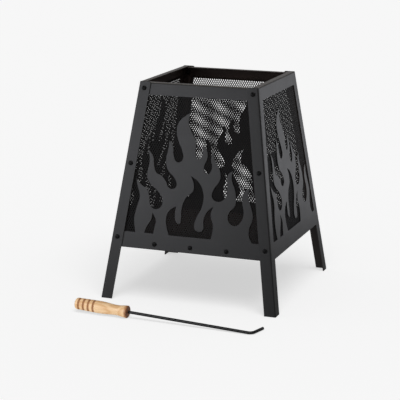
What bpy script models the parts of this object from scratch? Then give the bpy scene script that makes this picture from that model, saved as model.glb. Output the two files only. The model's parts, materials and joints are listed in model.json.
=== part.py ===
"""A square fire pit that tapers upwards, with a poker lying in front of it.

Four folded angle legs stand at the corners. A sheet panel with cut-out flames hangs between
each pair, with a net of expanded metal behind it, and a folded tray closes the bottom.
The front and rear panels are bolted behind the legs, and the side panels are let in flush
between them and welded.

Metres, +Z up. Each wall is drawn flat in a frame of its own: x runs along the wall, y goes
into the pit from the legs' outer face, and z climbs the slope. The front wall faces -Y.
"""

import math

import bmesh
import bpy
from mathutils import Matrix, Vector

# The stand: heights are above the floor, spans are over the legs' outer faces
HEIGHT = 0.480
FOOT_SPAN = 0.4076
TOP_SPAN = 0.2712

# Clearance left between pieces that touch, and round a bolt
SEAM = 0.0003
BOLT_CLEARANCE = 0.0004

# Folded angle legs: a flange is measured level, from the corner. Beside a side panel the leg's
# flange is cut back to the narrow one, which makes room for the panel in the same plane.
LEG_FLANGE = 0.026
LEG_NARROW_FLANGE = 0.006
LEG_SHEET = 0.002
LEG_BEND_RADIUS = 0.003
LEG_TOP_ROUNDING = 0.004

# Panels
PANEL_SHEET = 0.0015
PANEL_FOOT = 0.117
PANEL_EDGE_GAP = 0.0005
RIM_FLANGE = 0.014
RIM_FOLD_RADIUS = 0.0025
OPENING_LOW = 0.152
OPENING_HIGH = 0.452
OPENING_LAP = 0.001

# Expanded metal net: the real diamonds are about 5 mm by 9 mm, and are drawn wider here.
# A trimmed diamond at the edge is left out where less than this share of it is left.
NET_SHEET = 0.0012
NET_LAP = 0.005
NET_STRAND = 0.0042
NET_PITCH_ACROSS = 0.032
NET_PITCH_UP = 0.0565
NET_LEAST_SHARE = 0.08

# Base tray
TRAY_UNDERSIDE = 0.119
TRAY_SHEET = 0.0012
TRAY_LIP = 0.021
TRAY_LIP_CUTBACK = 0.027

# M6 bolts with low domed heads, and their nuts
BOLT_DIAMETER = 0.006
BOLT_HEAD_DIAMETER = 0.0104
BOLT_HEAD_HEIGHT = 0.0026
BOLT_LENGTH = 0.012
NUT_ACROSS_FLATS = 0.010
NUT_HEIGHT = 0.005
LEG_BOLT_HEIGHTS = {"low": 0.1387, "middle": 0.302, "high": 0.466}
BASE_BOLT_HEIGHT = 0.129
BASE_BOLT_SPACING = 0.0835

# Poker: a turned handle on a round bar with its tip bent over
HANDLE_LENGTH = 0.124
HANDLE_END_RADIUS = 0.0126
HANDLE_BELLY_RADIUS = 0.0134
HANDLE_WAIST_RADIUS = 0.0110
HANDLE_COLLAR_RADIUS = 0.0134
HANDLE_END_ROUNDING = 0.005
HANDLE_COLLAR_ROUNDING = 0.003
HANDLE_BELLY_AT = 0.058
HANDLE_WAIST_AT = 0.099
GROOVE_COUNT = 4
GROOVE_FIRST = 0.0102
GROOVE_SPACING = 0.0117
GROOVE_WIDTH = 0.0036
GROOVE_FLOOR = 0.0013
GROOVE_DEPTH = 0.0011
ROD_DIAMETER = 0.0064
ROD_REACH = 0.2808
ROD_TANG = 0.060
HOOK_LENGTH = 0.0425
HOOK_ANGLE = math.radians(77.0)
HOOK_BEND_RADIUS = 0.012
POKER_YAW = math.radians(-2.3)

# The poker's collar on the floor, measured from the pit's middle
COLLAR_ASIDE = -0.0887
COLLAR_AHEAD = -0.3178

# How finely curves are drawn, and from what angle an edge counts as sharp
FLAME_STEPS = 3
ROUND_STEPS = 10
HANDLE_STEPS = 14
GRIP_STEPS = 8
BEND_STEPS = 4
DOME_STEPS = 3
FOLD_STEPS = 2
BAR_STEPS = 2
SHARP_ANGLE = math.radians(35)

# Points closer than the first are one point, and than the second stand in one plane
WELD_DISTANCE = 1e-6
SAME_PLANE = 1e-5

# The flames, as drawn for an opening of this size. Every point is (x, height) in millimetres
# on the wall, and a point marked TIP is a sharp corner.
TIP = "tip"
DRAWN_LOW = 152
DRAWN_HIGH = 452
DRAWN_HALF_LOW = 156.0
DRAWN_HALF_HIGH = 113.5
FLAME_OUTLINES = {
    "tall_flames": [
        (-113.5, 452, TIP), (-156, 152, TIP), (-129, 152, TIP),
        (-133, 182), (-128, 208), (-122.3, 231), (-130, 258), (-132, 270, TIP),
        (-121, 257.5), (-105, 246.5), (-100, 230), (-95.5, 211.5), (-84.5, 206.2),
        (-71.5, 213.5), (-69.5, 229), (-80, 245), (-101.5, 263), (-107.5, 278), (-104, 302),
        (-104, 321), (-108.2, 335, TIP),
        (-96.5, 322), (-92.3, 301), (-86.5, 285.5), (-73.7, 279.5), (-62.5, 267),
        (-56.5, 255.5), (-46, 253.5), (-38.5, 260), (-43, 276), (-59, 292), (-65.3, 312),
        (-61, 340), (-59.2, 358, TIP),
        (-50.5, 343), (-48.3, 325), (-39, 311.5), (-27.5, 317.5), (-29, 336), (-38.5, 356),
        (-44, 382), (-38, 400.5), (-13.5, 420, TIP),
        (-17.5, 399), (-10, 379), (1.5, 358), (1.5, 336), (8.8, 321.7), (16.7, 332),
        (17.5, 346), (16.5, 353.5, TIP),
        (25.5, 345), (29, 326), (22.3, 303), (31, 291.3), (40, 302), (37.5, 325),
        (42.5, 341, TIP),
        (46.2, 322), (57.5, 303.5), (60, 281), (46.5, 258), (44.5, 242), (58.5, 234),
        (74, 244), (77.5, 262), (76.5, 291), (88.7, 303, TIP),
        (86, 287), (96, 258), (97.3, 230), (82.5, 208), (85.5, 192), (99, 185.7),
        (113.5, 198), (116.8, 216), (112.3, 240), (116, 258.5), (128, 269, TIP),
        (125.5, 250), (132, 230), (138, 206), (131.5, 182), (132, 165), (139.5, 152, TIP),
        (156, 152, TIP), (113.5, 452, TIP),
    ],
    "small_flame": [
        (-108.5, 152, TIP), (-86.5, 152, TIP), (-84.5, 166), (-82, 181),
        (-90.5, 198.5, TIP), (-93.5, 183), (-103, 166.5),
    ],
    "triple_flame": [
        (-50.5, 152, TIP), (-56.5, 170), (-58.3, 190), (-51, 206.5), (-36.5, 216, TIP),
        (-38.5, 199), (-35, 182), (-27.5, 178.5), (-24.2, 191), (-24, 211), (-14, 238),
        (0, 251.5), (1, 267), (-6, 284, TIP),
        (11.5, 273), (24, 249), (22, 219), (11, 195), (8, 172), (17, 165.5), (26.5, 169.5),
        (27.5, 190), (33, 207.5), (48.5, 223, TIP),
        (43, 205), (49.5, 182), (46.5, 152, TIP),
    ],
}

# Worked out from the sizes above
LEAN = math.atan2(FOOT_SPAN - TOP_SPAN, 2 * HEIGHT)
FOOT_HALF = FOOT_SPAN / 2
QUARTER_TURN = math.pi / 2
CUTTER_REACH = 2 * BOLT_LENGTH
HEXAGON = 6

# Depths from the legs' outer face. A bolted panel lies behind the legs, and its rim passes
# under the side panels' rims, which lap over it.
BOLTED_FACE = LEG_SHEET + SEAM
BOLTED_BACK = BOLTED_FACE + PANEL_SHEET
BOLTED_LINING = BOLTED_BACK + SEAM
BOLTED_TOP = HEIGHT - PANEL_SHEET - SEAM
SIDE_FACE = 0.0
SIDE_LINING = SIDE_FACE + PANEL_SHEET + SEAM

WALLS = ("front", "right", "rear", "left")
BOLTED_WALLS = ("front", "rear")
SIDE_WALLS = ("right", "left")
LEGS = ("leg_front_left", "leg_front_right", "leg_rear_right", "leg_rear_left")

PAINT = ("black_paint", (0.045, 0.045, 0.048), 0.62, 0.0)
NET_PAINT = ("net_paint", (0.030, 0.029, 0.030), 0.60, 0.0)
BLACK_STEEL = ("black_steel", (0.020, 0.020, 0.021), 0.45, 0.6)
TRAY_PAINT = ("tray_paint", (0.035, 0.034, 0.034), 0.70, 0.0)
WOOD = ("turned_wood", (0.66, 0.43, 0.22), 0.48, 0.0)


def up_slope(height):
    """How far up the leaning wall a height above the floor lies."""
    return height / math.cos(LEAN)


def half_width(slope):
    """Half the stand's width at this distance up the slope, over the legs' outer faces."""
    return FOOT_HALF - slope * math.sin(LEAN)


def level(thickness):
    """A thickness square to a leaning wall, measured level."""
    return thickness / math.cos(LEAN)


def opening_half(slope):
    """Half a panel's opening, whose sides are in line with the edges of the legs' flanges."""
    return half_width(slope) - LEG_FLANGE + OPENING_LAP


def make_collection(name):
    collection = bpy.data.collections.new(name)
    bpy.context.scene.collection.children.link(collection)
    return collection


def clear_scene():
    for thing in list(bpy.data.objects):
        bpy.data.objects.remove(thing)


def make_material(name, colour, roughness, metallic):
    material = bpy.data.materials.new(name)
    material.use_nodes = True
    shader = material.node_tree.nodes["Principled BSDF"]
    shader.inputs["Base Color"].default_value = (*colour, 1.0)
    shader.inputs["Roughness"].default_value = roughness
    shader.inputs["Metallic"].default_value = metallic
    return material


def make_empty(name, collection, parent=None):
    empty = bpy.data.objects.new(name, None)
    empty.parent = parent
    collection.objects.link(empty)
    return empty


def place_part(name, mesh, parent, finish):
    """One named piece with a material of its own."""
    part = bpy.data.objects.new(name, mesh)
    part.parent = parent
    mesh.materials.clear()
    mesh.materials.append(make_material(f"{name}_{finish[0]}", *finish[1:]))
    PARTS.objects.link(part)
    return part


def place_cutter(name, mesh, parent):
    cutter = bpy.data.objects.new(name, mesh)
    cutter.parent = parent
    cutter.hide_render = True
    cutter.display_type = "WIRE"
    CUTTERS.objects.link(cutter)
    return cutter


def cut(part, cutter):
    hole = part.modifiers.new(cutter.name, "BOOLEAN")
    hole.operation = "DIFFERENCE"
    hole.solver = "EXACT"
    hole.object = cutter


def thicken(part, thickness):
    """Gives a sheet its thickness on the side away from its normals."""
    sheet = part.modifiers.new("sheet", "SOLIDIFY")
    sheet.thickness = thickness
    sheet.offset = -1.0
    sheet.use_even_offset = True


def mesh_from(shape, name):
    mesh = bpy.data.meshes.new(name)
    shape.to_mesh(mesh)
    shape.free()
    return mesh


def shade_round(mesh):
    mesh.shade_smooth()
    mesh.set_sharp_from_angle(angle=SHARP_ANGLE)


def mesh_from_curve(curve):
    """Turns a curve into a closed mesh, its caps welded on."""
    holder = bpy.data.objects.new(curve.name, curve)
    bpy.context.scene.collection.objects.link(holder)
    bpy.context.view_layer.update()
    depsgraph = bpy.context.evaluated_depsgraph_get()
    mesh = bpy.data.meshes.new_from_object(holder.evaluated_get(depsgraph))
    bpy.data.objects.remove(holder)
    shape = bmesh.new()
    shape.from_mesh(mesh)
    bmesh.ops.remove_doubles(shape, verts=shape.verts, dist=WELD_DISTANCE)
    bmesh.ops.recalc_face_normals(shape, faces=shape.faces)
    shape.to_mesh(mesh)
    shape.free()
    return mesh


def turned_mesh(name, profile, steps):
    """Spins (radius, place along the axis) points about +Y into a closed body."""
    shape = bmesh.new()
    chain = [shape.verts.new((radius, along, 0)) for radius, along in profile]
    edges = [shape.edges.new(pair) for pair in zip(chain, chain[1:])]
    bmesh.ops.spin(
        shape, geom=chain + edges, cent=(0, 0, 0), axis=(0, 1, 0),
        angle=2 * math.pi, steps=steps, use_merge=True,
    )
    bmesh.ops.remove_doubles(shape, verts=shape.verts, dist=WELD_DISTANCE)
    bmesh.ops.recalc_face_normals(shape, faces=shape.faces)
    return mesh_from(shape, name)


def flat_curve(name, thickness):
    curve = bpy.data.curves.new(name, "CURVE")
    curve.dimensions = "2D"
    curve.fill_mode = "BOTH"
    curve.extrude = thickness / 2
    return curve


def add_outline(curve, points):
    """Adds a closed outline of straight sides to a flat curve."""
    spline = curve.splines.new("POLY")
    spline.points.add(len(points) - 1)
    for point, (x, y) in zip(spline.points, points):
        point.co = (x, y, 0, 1)
    spline.use_cyclic_u = True


def make_wall_frames(pit):
    """One empty for each wall, so that all four can be drawn alike."""
    frames = {}
    for turn, wall in enumerate(WALLS):
        frame = make_empty(f"{wall}_wall", PARTS, pit)
        frame.matrix_local = (
            Matrix.Rotation(turn * QUARTER_TURN, 4, "Z")
            @ Matrix.Translation((0, -FOOT_HALF, 0))
            @ Matrix.Rotation(-LEAN, 4, "X")
        )
        frames[wall] = frame
    return frames


def leg_outline():
    """The angle's level section about its outer corner, with both bends rounded."""
    sheet = level(LEG_SHEET)
    inner_radius = LEG_BEND_RADIUS - LEG_SHEET
    outside = []
    inside = []
    for step in range(BEND_STEPS + 1):
        angle = QUARTER_TURN * step / BEND_STEPS
        outside.append((
            LEG_BEND_RADIUS * (1 - math.sin(angle)),
            LEG_BEND_RADIUS * (1 - math.cos(angle)),
        ))
        inside.append((
            sheet + inner_radius * (1 - math.cos(angle)),
            sheet + inner_radius * (1 - math.sin(angle)),
        ))
    return [
        (LEG_FLANGE, sheet), (LEG_FLANGE, 0), *outside, (0, LEG_FLANGE), (sheet, LEG_FLANGE), *inside,
    ]


def make_panel_seats(frames):
    """The cutters that narrow the legs' flanges where a side panel is let in between them."""
    low = up_slope(PANEL_FOOT) - SEAM
    high = up_slope(HEIGHT) + CUTTER_REACH
    half_low = half_width(low) - LEG_NARROW_FLANGE
    half_high = half_width(high) - LEG_NARROW_FLANGE
    curve = flat_curve("panel_seat", 2 * CUTTER_REACH)
    add_outline(curve, [(-half_low, low), (half_low, low), (half_high, high), (-half_high, high)])
    mesh = mesh_from_curve(curve)
    mesh.transform(Matrix.Rotation(QUARTER_TURN, 4, "X"))
    return {wall: place_cutter(f"{wall}_panel_seat", mesh, frames[wall]) for wall in SIDE_WALLS}


def make_legs(pit, bolt_holes, panel_seats):
    """Four alike angles, each a section drawn on the floor, raised and leant over its corner."""
    curve = flat_curve("leg_section", HEIGHT)
    add_outline(curve, leg_outline())
    section = mesh_from_curve(curve)
    shape = bmesh.new()
    shape.from_mesh(section)
    bmesh.ops.translate(shape, verts=shape.verts, vec=(0, 0, HEIGHT / 2))

    def lies_at(edge, axis, place):
        return all(abs(vert.co[axis] - place) < SAME_PLANE for vert in edge.verts)

    flange_ends = [
        edge for edge in shape.edges
        if lies_at(edge, 2, HEIGHT) and (lies_at(edge, 0, LEG_FLANGE) or lies_at(edge, 1, LEG_FLANGE))
    ]
    bmesh.ops.bevel(
        shape, geom=flange_ends, offset=LEG_TOP_ROUNDING, segments=BEND_STEPS,
        affect="EDGES", profile=0.5,
    )
    bmesh.ops.translate(shape, verts=shape.verts, vec=(-FOOT_HALF, -FOOT_HALF, 0))
    lean = Matrix.Identity(4)
    lean[0][2] = math.tan(LEAN)
    lean[1][2] = math.tan(LEAN)
    bmesh.ops.transform(shape, matrix=lean, verts=shape.verts)
    for turn, name in enumerate(LEGS):
        leg = place_part(name, mesh_from(shape.copy(), name), pit, PAINT)
        leg.rotation_euler.z = turn * QUARTER_TURN
        _, bolted_wall, side_wall = name.split("_")
        cut(leg, bolt_holes[bolted_wall])
        cut(leg, panel_seats[side_wall])
        shade_round(leg.data)
    shape.free()


def bolt_places():
    """Every bolt of one wall: its names, its place along and up the wall, and its two seats.

    A leg's bolt bears on the leg and clamps the panel, and a base bolt bears on the panel and
    clamps the tray's lip. The seats are the depths of the outer face and of the nut's face.
    """
    places = []
    for side, sign in (("left", -1), ("right", 1)):
        for level_name, height in LEG_BOLT_HEIGHTS.items():
            slope = up_slope(height)
            across = sign * (half_width(slope) - LEG_FLANGE / 2)
            names = f"{side}_leg", level_name
            places.append((names, across, slope, 0.0, BOLTED_BACK))
    for step, side in ((-1, "left"), (0, "middle"), (1, "right")):
        across = step * BASE_BOLT_SPACING
        slope = up_slope(BASE_BOLT_HEIGHT)
        places.append((("base", side), across, slope, BOLTED_FACE, BOLTED_LINING + TRAY_SHEET))
    return places


def add_cylinder(shape, radius, start, end, across, slope, steps=ROUND_STEPS):
    """A round bar square to the wall, between two depths."""
    lie = Matrix.Translation((across, (start + end) / 2, slope)) @ Matrix.Rotation(-QUARTER_TURN, 4, "X")
    bmesh.ops.create_cone(
        shape, cap_ends=True, segments=steps, radius1=radius, radius2=radius,
        depth=end - start, matrix=lie,
    )


def make_bolt_holes(frames):
    """The cutters for the clearance holes of the two bolted walls."""
    shape = bmesh.new()
    for _, across, slope, _, _ in bolt_places():
        radius = BOLT_DIAMETER / 2 + BOLT_CLEARANCE
        add_cylinder(shape, radius, -CUTTER_REACH, CUTTER_REACH, across, slope)
    mesh = mesh_from(shape, "bolt_holes")
    return {wall: place_cutter(f"{wall}_bolt_holes", mesh, frames[wall]) for wall in BOLTED_WALLS}


def flame_point(x, height):
    """A drawn flame point's place on the wall, stretched to the opening's real size."""
    rise = (height - DRAWN_LOW) / (DRAWN_HIGH - DRAWN_LOW)
    drawn_half = DRAWN_HALF_LOW + rise * (DRAWN_HALF_HIGH - DRAWN_HALF_LOW)
    low = up_slope(OPENING_LOW)
    slope = low + rise * (up_slope(OPENING_HIGH) - low)
    return x / drawn_half * opening_half(slope), slope


def make_flame_cutter():
    """One solid of the three shapes that are cut from a panel, upright in the wall's plane."""
    curve = flat_curve("flames", 2 * CUTTER_REACH)
    curve.resolution_u = FLAME_STEPS
    for points in FLAME_OUTLINES.values():
        spline = curve.splines.new("BEZIER")
        spline.bezier_points.add(len(points) - 1)
        spline.use_cyclic_u = True
        for knot, (x, height, *corner) in zip(spline.bezier_points, points):
            handle = "VECTOR" if corner else "AUTO"
            knot.co = (*flame_point(x, height), 0)
            knot.handle_left_type = handle
            knot.handle_right_type = handle
    mesh = mesh_from_curve(curve)
    mesh.transform(Matrix.Rotation(QUARTER_TURN, 4, "X"))
    return mesh


def panel_mesh(name, face, top_height, edge_inset):
    """A panel as one bent surface: a leaning wall and the rim flange folded in at its top."""
    low = up_slope(PANEL_FOOT)
    top = up_slope(top_height) + face * math.tan(LEAN)
    shape = bmesh.new()
    bmesh.ops.create_grid(shape, x_segments=1, y_segments=1, size=FOOT_HALF)
    for vert in shape.verts:
        slope = top if vert.co.y > 0 else low
        side = math.copysign(half_width(slope) - edge_inset, vert.co.x)
        vert.co = (side, face, slope)
    fold = max(shape.edges, key=lambda edge: min(vert.co.z for vert in edge.verts))
    rim = bmesh.ops.extrude_edge_only(shape, edges=[fold])
    for vert in rim["geom"]:
        if isinstance(vert, bmesh.types.BMVert):
            vert.co.y += RIM_FLANGE * math.cos(LEAN)
            vert.co.z += RIM_FLANGE * math.sin(LEAN)
    bmesh.ops.bevel(
        shape, geom=[fold], offset=RIM_FOLD_RADIUS, segments=FOLD_STEPS, affect="EDGES", profile=0.5,
    )
    bmesh.ops.recalc_face_normals(shape, faces=shape.faces)
    wall = max(shape.faces, key=lambda face: face.calc_area())
    if wall.normal.y > 0:
        bmesh.ops.reverse_faces(shape, faces=shape.faces)
    return mesh_from(shape, name)


def make_panels(frames, bolt_holes):
    """A bolted panel fills the space inside the legs, and a side panel the seat cut in them."""
    flames = make_flame_cutter()
    for wall, frame in frames.items():
        name = f"{wall}_panel"
        if wall in BOLTED_WALLS:
            mesh = panel_mesh(name, BOLTED_FACE, BOLTED_TOP, level(LEG_SHEET + PANEL_EDGE_GAP))
        else:
            mesh = panel_mesh(name, SIDE_FACE, HEIGHT, LEG_NARROW_FLANGE + SEAM)
        panel = place_part(name, mesh, frame, PAINT)
        thicken(panel, PANEL_SHEET)
        cut(panel, place_cutter(f"{wall}_flames", flames, frame))
        if wall in BOLTED_WALLS:
            cut(panel, bolt_holes[wall])
        shade_round(panel.data)


def trim(polygon, corner_a, corner_b):
    """Keeps the part of a convex polygon on the left of the line from a to b."""
    run_x, run_y = corner_b[0] - corner_a[0], corner_b[1] - corner_a[1]

    def side(point):
        return run_x * (point[1] - corner_a[1]) - run_y * (point[0] - corner_a[0])

    kept = []
    for here, after in zip(polygon, polygon[1:] + polygon[:1]):
        side_here, side_after = side(here), side(after)
        if side_here >= 0:
            kept.append(here)
        if (side_here > 0) != (side_after > 0) and side_here != side_after:
            share = side_here / (side_here - side_after)
            kept.append(tuple(h + share * (a - h) for h, a in zip(here, after)))
    return kept


def outline_area(polygon):
    pairs = zip(polygon, polygon[1:] + polygon[:1])
    return abs(sum(a[0] * b[1] - b[0] * a[1] for a, b in pairs)) / 2


def net_border(inset):
    """The net's outline, a trapezoid just larger than the opening, drawn in by an inset."""
    low = up_slope(OPENING_LOW) - NET_LAP + inset
    high = up_slope(OPENING_HIGH) + NET_LAP - inset
    half_low = opening_half(low) + NET_LAP - inset
    half_high = opening_half(high) + NET_LAP - inset
    return [(-half_low, low), (half_low, low), (half_high, high), (-half_high, high)]


def net_gaps():
    """Diamond gaps in staggered rows, those at the edge trimmed to the border."""
    border = net_border(NET_LAP)
    middle = (border[0][1] + border[2][1]) / 2
    half_across = (NET_PITCH_ACROSS - NET_STRAND) / 2
    half_up = half_across * NET_PITCH_UP / NET_PITCH_ACROSS
    least_area = NET_LEAST_SHARE * 2 * half_across * half_up
    rows = math.ceil((border[2][1] - border[0][1]) / NET_PITCH_UP) + 1
    columns = math.ceil(border[1][0] / NET_PITCH_ACROSS) + 1
    gaps = []
    for row in range(-rows, rows + 1):
        for column in range(-columns, columns + 1):
            x = (column + row % 2 / 2) * NET_PITCH_ACROSS
            y = middle + row * NET_PITCH_UP / 2
            gap = [(x - half_across, y), (x, y - half_up), (x + half_across, y), (x, y + half_up)]
            for start, end in zip(border, border[1:] + border[:1]):
                gap = trim(gap, start, end) if gap else gap
            if len(gap) > 2 and outline_area(gap) > least_area:
                gaps.append(gap)
    return gaps


def make_nets(frames):
    """Each net lies against the back of its panel."""
    curve = flat_curve("net", NET_SHEET)
    add_outline(curve, net_border(0.0))
    for gap in net_gaps():
        add_outline(curve, gap)
    mesh = mesh_from_curve(curve)
    mesh.transform(Matrix.Translation((0, NET_SHEET / 2, 0)) @ Matrix.Rotation(QUARTER_TURN, 4, "X"))
    for wall, frame in frames.items():
        net = place_part(f"{wall}_net", mesh.copy(), frame, NET_PAINT)
        net.location.y = BOLTED_LINING if wall in BOLTED_WALLS else SIDE_LINING


def make_tray(pit, bolt_holes):
    """A floor with a lip folded up along each wall, its corners left open."""
    floor_half = half_width(up_slope(TRAY_UNDERSIDE)) - level(BOLTED_LINING)
    lip_half = floor_half - TRAY_LIP_CUTBACK
    rise = TRAY_LIP * math.cos(LEAN)
    run = TRAY_LIP * math.sin(LEAN)
    shape = bmesh.new()
    bmesh.ops.create_grid(shape, x_segments=3, y_segments=3, size=floor_half)
    for vert in shape.verts:
        for axis in (0, 1):
            if abs(vert.co[axis]) < floor_half / 2:
                vert.co[axis] = math.copysign(lip_half, vert.co[axis])
        vert.co.z = TRAY_UNDERSIDE
    lip_folds = [
        edge for edge in shape.edges
        if edge.is_boundary and edge.calc_length() > lip_half
    ]
    for fold in lip_folds:
        middle = (fold.verts[0].co + fold.verts[1].co) / 2
        inward = -middle.copy()
        inward.z = 0
        lip = bmesh.ops.extrude_edge_only(shape, edges=[fold])
        for vert in lip["geom"]:
            if isinstance(vert, bmesh.types.BMVert):
                vert.co += inward.normalized() * run + Vector((0, 0, rise))
    bmesh.ops.recalc_face_normals(shape, faces=shape.faces)
    floor = max(shape.faces, key=lambda face: face.calc_area())
    if floor.normal.z > 0:
        bmesh.ops.reverse_faces(shape, faces=shape.faces)
    tray = place_part("base_tray", mesh_from(shape, "base_tray"), pit, TRAY_PAINT)
    thicken(tray, TRAY_SHEET)
    for wall in BOLTED_WALLS:
        cut(tray, bolt_holes[wall])


def bolt_mesh():
    """A turned bolt along +Y, the seat of its low domed head at the origin."""
    shank = BOLT_DIAMETER / 2
    head = BOLT_HEAD_DIAMETER / 2
    profile = [(0, BOLT_LENGTH), (shank, BOLT_LENGTH), (shank, 0), (head, 0)]
    for step in range(1, DOME_STEPS + 1):
        angle = QUARTER_TURN * step / DOME_STEPS
        profile.append((head * math.cos(angle), -BOLT_HEAD_HEIGHT * math.sin(angle)))
    return turned_mesh("bolt", profile, ROUND_STEPS)


def nut_mesh():
    """A hexagon nut along +Y, its seat at the origin and a corner upwards."""
    outline = flat_curve("nut", NUT_HEIGHT)
    corner = NUT_ACROSS_FLATS / 2 / math.cos(math.pi / HEXAGON)
    for steps, radius in ((HEXAGON, corner), (ROUND_STEPS, BOLT_DIAMETER / 2 + SEAM)):
        turns = [2 * math.pi * step / steps for step in range(steps)]
        add_outline(outline, [(radius * math.sin(turn), radius * math.cos(turn)) for turn in turns])
    mesh = mesh_from_curve(outline)
    mesh.transform(
        Matrix.Translation((0, NUT_HEIGHT / 2, 0)) @ Matrix.Rotation(QUARTER_TURN, 4, "X")
    )
    return mesh


def make_fasteners(frames):
    """Six bolts on each bolted wall hold the legs, and three hold the tray, each with its nut."""
    bolt = bolt_mesh()
    nut = nut_mesh()
    shade_round(bolt)
    for wall in BOLTED_WALLS:
        for (group, which), across, slope, seat, nut_seat in bolt_places():
            for piece, mesh, depth in (("bolt", bolt, seat - SEAM), ("nut", nut, nut_seat + SEAM)):
                name = f"{wall}_{group}_{piece}_{which}"
                fastener = place_part(name, mesh.copy(), frames[wall], BLACK_STEEL)
                fastener.location = (across, depth, slope)


def eased(start, end, share):
    """A smooth change from one value to another."""
    return start + (end - start) * (1 - math.cos(math.pi * share)) / 2


def grip_radius(along):
    """The handle's radius between its rounded ends, before the grooves are cut."""
    if along < HANDLE_BELLY_AT:
        return eased(HANDLE_END_RADIUS, HANDLE_BELLY_RADIUS, along / HANDLE_BELLY_AT)
    if along < HANDLE_WAIST_AT:
        share = (along - HANDLE_BELLY_AT) / (HANDLE_WAIST_AT - HANDLE_BELLY_AT)
        return eased(HANDLE_BELLY_RADIUS, HANDLE_WAIST_RADIUS, share)
    share = (along - HANDLE_WAIST_AT) / (HANDLE_LENGTH - HANDLE_COLLAR_ROUNDING - HANDLE_WAIST_AT)
    return eased(HANDLE_WAIST_RADIUS, HANDLE_COLLAR_RADIUS, min(share, 1.0))


def handle_profile():
    """The turned outline from the free end to the collar, then down the rod's blind bore.

    Each point is a radius and a place along the poker, with the collar's face at 0.
    """
    points = [(0.0, 0.0)]
    for step in range(DOME_STEPS + 1):
        angle = QUARTER_TURN * step / DOME_STEPS
        points.append((
            HANDLE_END_RADIUS - HANDLE_END_ROUNDING * (1 - math.sin(angle)),
            HANDLE_END_ROUNDING * (1 - math.cos(angle)),
        ))
    for groove in range(GROOVE_COUNT):
        middle = GROOVE_FIRST + groove * GROOVE_SPACING
        for offset in (-GROOVE_WIDTH, -GROOVE_FLOOR, GROOVE_FLOOR, GROOVE_WIDTH):
            along = middle + offset / 2
            depth = GROOVE_DEPTH if abs(offset) == GROOVE_FLOOR else 0.0
            points.append((grip_radius(along) - depth, along))
    last_groove = points[-1][1]
    collar_start = HANDLE_LENGTH - HANDLE_COLLAR_ROUNDING
    for step in range(1, GRIP_STEPS + 1):
        along = last_groove + (collar_start - last_groove) * step / GRIP_STEPS
        points.append((grip_radius(along), along))
    for step in range(1, DOME_STEPS + 1):
        angle = QUARTER_TURN * step / DOME_STEPS
        points.append((
            HANDLE_COLLAR_RADIUS - HANDLE_COLLAR_ROUNDING * (1 - math.cos(angle)),
            collar_start + HANDLE_COLLAR_ROUNDING * math.sin(angle),
        ))
    bore = ROD_DIAMETER / 2 + SEAM
    bore_end = HANDLE_LENGTH - ROD_TANG - SEAM
    points += [(bore, HANDLE_LENGTH), (bore, bore_end), (0.0, bore_end)]
    return [(radius, along - HANDLE_LENGTH) for radius, along in points]


def make_handle(poker):
    """Turned wood, spun about the poker's axis, which is the frame's x axis."""
    mesh = turned_mesh("poker_handle", handle_profile(), HANDLE_STEPS)
    mesh.transform(Matrix.Rotation(-QUARTER_TURN, 4, "Z"))
    handle = place_part("poker_handle", mesh, poker, WOOD)
    shade_round(handle.data)


def rod_route():
    """The bar's centre line: tang, straight reach, rounded bend and hook, in the poker's plane."""
    cut_back = HOOK_BEND_RADIUS * math.tan(HOOK_ANGLE / 2)
    points = [Vector((-ROD_TANG, 0, 0))]
    centre = Vector((ROD_REACH - cut_back, HOOK_BEND_RADIUS, 0))
    for step in range(BEND_STEPS + 1):
        angle = HOOK_ANGLE * step / BEND_STEPS
        points.append(centre + HOOK_BEND_RADIUS * Vector((math.sin(angle), -math.cos(angle), 0)))
    direction = Vector((math.cos(HOOK_ANGLE), math.sin(HOOK_ANGLE), 0))
    points.append(Vector((ROD_REACH, 0, 0)) + HOOK_LENGTH * direction)
    return points


def make_rod(poker):
    route = rod_route()
    curve = bpy.data.curves.new("poker_rod", "CURVE")
    curve.dimensions = "3D"
    curve.bevel_depth = ROD_DIAMETER / 2
    curve.bevel_resolution = BAR_STEPS
    curve.use_fill_caps = True
    spline = curve.splines.new("POLY")
    spline.points.add(len(route) - 1)
    for point, place in zip(spline.points, route):
        point.co = (*place, 1)
    rod = place_part("poker_rod", mesh_from_curve(curve), poker, BLACK_STEEL)
    shade_round(rod.data)


def lay_poker(poker):
    """Lays the poker on the floor, where it rests on its collar and its hook's tip."""
    tip = rod_route()[-1]
    dip = math.asin((HANDLE_COLLAR_RADIUS - ROD_DIAMETER / 2) / tip.x)
    poker.matrix_local = (
        Matrix.Translation((COLLAR_ASIDE, COLLAR_AHEAD, HANDLE_COLLAR_RADIUS))
        @ Matrix.Rotation(POKER_YAW, 4, "Z")
        @ Matrix.Rotation(dip, 4, "Y")
    )


def centre_on_origin(stand):
    """Moves the whole set level, until its box is centred over the origin."""
    bpy.context.view_layer.update()
    depsgraph = bpy.context.evaluated_depsgraph_get()
    corners = []
    for part in PARTS.objects:
        if part.type == "MESH":
            evaluated = part.evaluated_get(depsgraph)
            mesh = evaluated.to_mesh()
            corners += [part.matrix_world @ vert.co for vert in mesh.vertices]
            evaluated.to_mesh_clear()
    for axis in (0, 1):
        reach = [corner[axis] for corner in corners]
        stand.location[axis] -= (min(reach) + max(reach)) / 2


clear_scene()
PARTS = make_collection("fire_pit")
CUTTERS = make_collection("fire_pit_cutters")
STAND = make_empty("set_on_the_floor", PARTS)
PIT = make_empty("pit", PARTS, STAND)
POKER = make_empty("poker", PARTS, STAND)

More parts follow.
